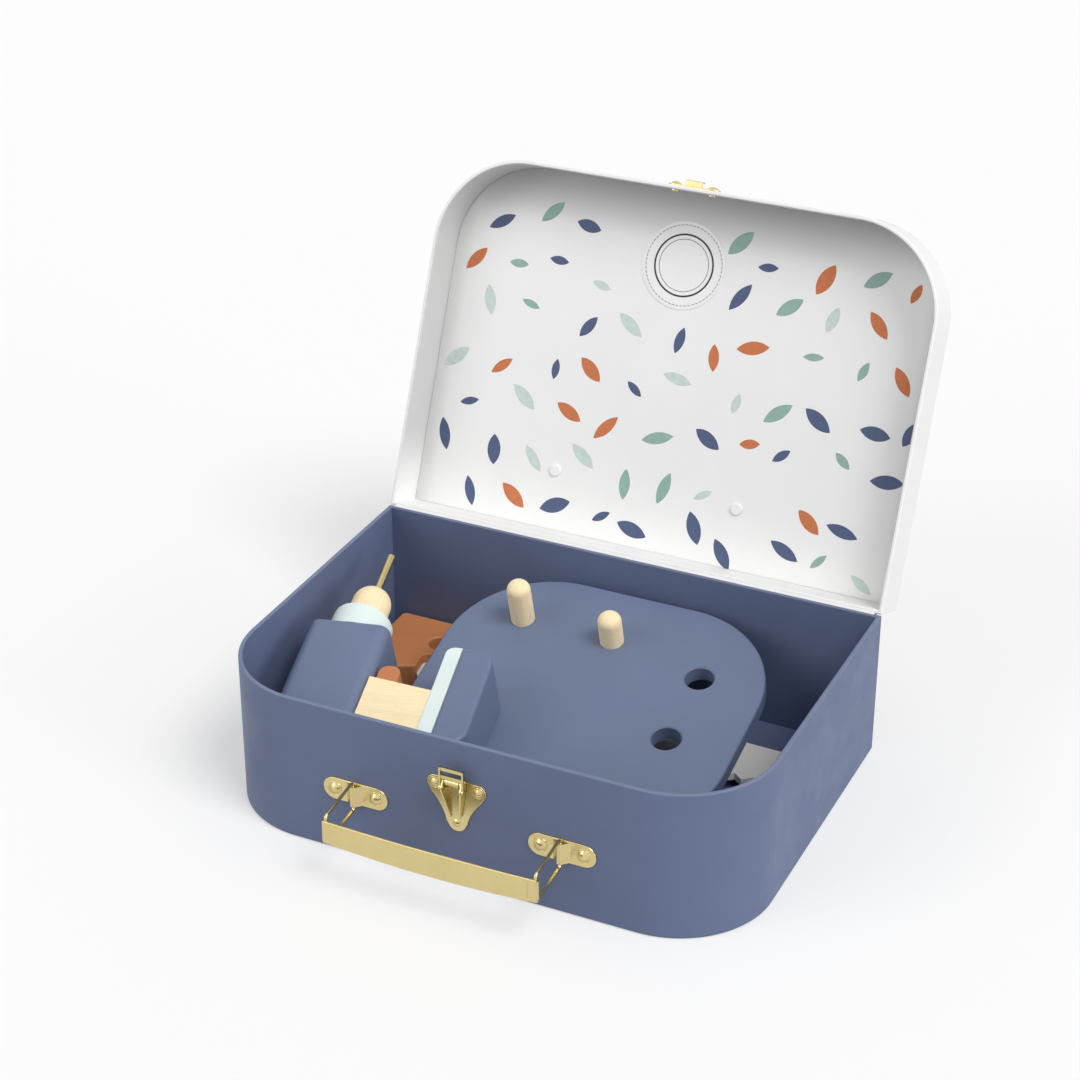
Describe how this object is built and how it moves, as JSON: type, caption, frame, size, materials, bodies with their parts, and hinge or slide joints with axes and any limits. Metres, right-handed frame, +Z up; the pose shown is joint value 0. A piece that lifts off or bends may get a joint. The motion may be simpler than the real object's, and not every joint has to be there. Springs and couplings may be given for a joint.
{
  "type": "toy tool case",
  "caption": "Child's card tool case with hinged lid, brass handle and latch, holding a sloping peg bench, a toy drill with spinning chuck and a toy saw.",
  "frame": {"origin": "centre of the tray's underside", "axes": "+X along the hinge to the right of someone facing the latch, +Y from the latch to the hinge, +Z up"},
  "size_m": [0.285, 0.3335, 0.2649],
  "materials": {
    "blue_card": "matte printed paper over card",
    "white_card": "matte white paper over card",
    "printed_paper": "matte paper with small printed leaves",
    "label_paper": "matte paper with a dashed ring",
    "white_plastic": "satin",
    "blue_cloth": "woven cloth strip",
    "white_cloth": "woven cloth strip",
    "brass": "polished sheet and wire",
    "blue_wood": "smooth matte paint",
    "beech": "bare beech, fine grain",
    "mint_wood": "smooth matte paint",
    "terracotta_wood": "smooth matte paint",
    "white_wood": "smooth matte paint",
    "spring_steel": "bright wire"
  },
  "bodies": {
    "case": {"tray_wall": "blue_card", "tray_base": "blue_card", "hinge_tape_tray": "blue_cloth", "handle_bracket_left": "brass", "handle_bracket_right": "brass", "bracket_rivets": "brass", "latch_plate": "brass", "latch_rivets": "brass", "latch_pin": "brass"},
    "lid": {"lid_wall": "white_card", "lid_panel": "white_card", "lid_lining": "printed_paper", "hinge_tape_lid": "white_cloth", "round_label": "label_paper", "lid_caps": "white_plastic", "lid_catch": "brass", "catch_rivets": "brass"},
    "ring_left": {"handle_ring_left": "brass"},
    "ring_right": {"handle_ring_right": "brass"},
    "grip": {"handle_grip": "brass"},
    "lever": {"latch_lever": "brass"},
    "loop": {"latch_loop": "brass"},
    "bench": {"bench_board": "blue_wood", "bench_rail_rear": "blue_wood", "bench_rail_front": "blue_wood", "bench_dowels": "beech"},
    "peg_tall": {"peg_tall": "beech"},
    "peg_short": {"peg_short": "beech"},
    "drill": {"drill_barrel": "blue_wood", "drill_collar": "mint_wood", "drill_grip": "beech", "grip_band": "mint_wood", "battery_base": "blue_wood", "drill_dowels": "beech", "spindle_pin": "beech", "trigger_pin": "beech", "trigger_spring": "spring_steel"},
    "chuck": {"drill_chuck": "beech", "drill_bit": "brass", "chuck_spindle": "beech"},
    "trigger": {"drill_trigger": "terracotta_wood"},
    "saw": {"saw_handle": "terracotta_wood", "saw_blade": "white_wood", "saw_dowels": "beech"}
  },
  "joints": [
    {"name": "lid_hinge", "type": "hinge", "parent": "case", "child": "lid", "pos_m": [0, 0.099, 0.082], "axis": [-1, 0, 0], "range_deg": [-113, 45]},
    {"name": "ring_left_hinge", "type": "hinge", "parent": "case", "child": "ring_left", "pos_m": [-0.0567, -0.1017, 0.0368], "axis": [0, 0, 1], "range_deg": [-60, 60]},
    {"name": "ring_right_hinge", "type": "hinge", "parent": "case", "child": "ring_right", "pos_m": [0.0543, -0.1017, 0.0368], "axis": [0, 0, 1], "range_deg": [-60, 60]},
    {"name": "grip_hinge", "type": "hinge", "parent": "ring_left", "child": "grip", "pos_m": [-0.0567, -0.129, 0.0338], "axis": [0, 0, 1], "range_deg": [-60, 60]},
    {"name": "lever_hinge", "type": "hinge", "parent": "case", "child": "lever", "pos_m": [-0.0012, -0.1023, 0.0608], "axis": [-1, 0, 0], "range_deg": [0, 110]},
    {"name": "loop_hinge", "type": "hinge", "parent": "lever", "child": "loop", "pos_m": [-0.0012, -0.1044, 0.0581], "axis": [-1, 0, 0], "range_deg": [-110, 0]},
    {"name": "bench_lift", "type": "slide", "parent": "case", "child": "bench", "axis": [0, 0, 1], "range_m": [0, 0.16]},
    {"name": "peg_tall_slide", "type": "slide", "parent": "bench", "child": "peg_tall", "axis": [0, -0.2588, 0.9659], "range_m": [-0.02, 0.045]},
    {"name": "peg_short_slide", "type": "slide", "parent": "bench", "child": "peg_short", "axis": [0, -0.2588, 0.9659], "range_m": [-0.013, 0.045]},
    {"name": "drill_lift", "type": "slide", "parent": "bench", "child": "drill", "axis": [0, 0, 1], "range_m": [0, 0.15]},
    {"name": "chuck_spin", "type": "hinge", "parent": "drill", "child": "chuck", "pos_m": [-0.1081, -0.00495, 0.05743], "axis": [-0.1771, 0.9507, 0.2547], "continuous": true},
    {"name": "trigger_slide", "type": "slide", "parent": "drill", "child": "trigger", "axis": [0.1771, -0.9507, -0.2547], "range_m": [0, 0.004], "stiffness_N_per_m": 250, "springref_m": -0.004, "deforming": ["trigger_spring"]},
    {"name": "saw_lift", "type": "slide", "parent": "case", "child": "saw", "axis": [0, 0, 1], "range_m": [0, 0.096]}
  ],
  "couplings": [
    {"joint": "ring_right_hinge", "follows": "ring_left_hinge", "ratio": 1},
    {"joint": "grip_hinge", "follows": "ring_left_hinge", "ratio": -1},
    {"joint": "loop_hinge", "follows": "lever_hinge", "ratio": -1},
    {"joint": "saw_lift", "follows": "bench_lift", "ratio": 0.6}
  ]
}
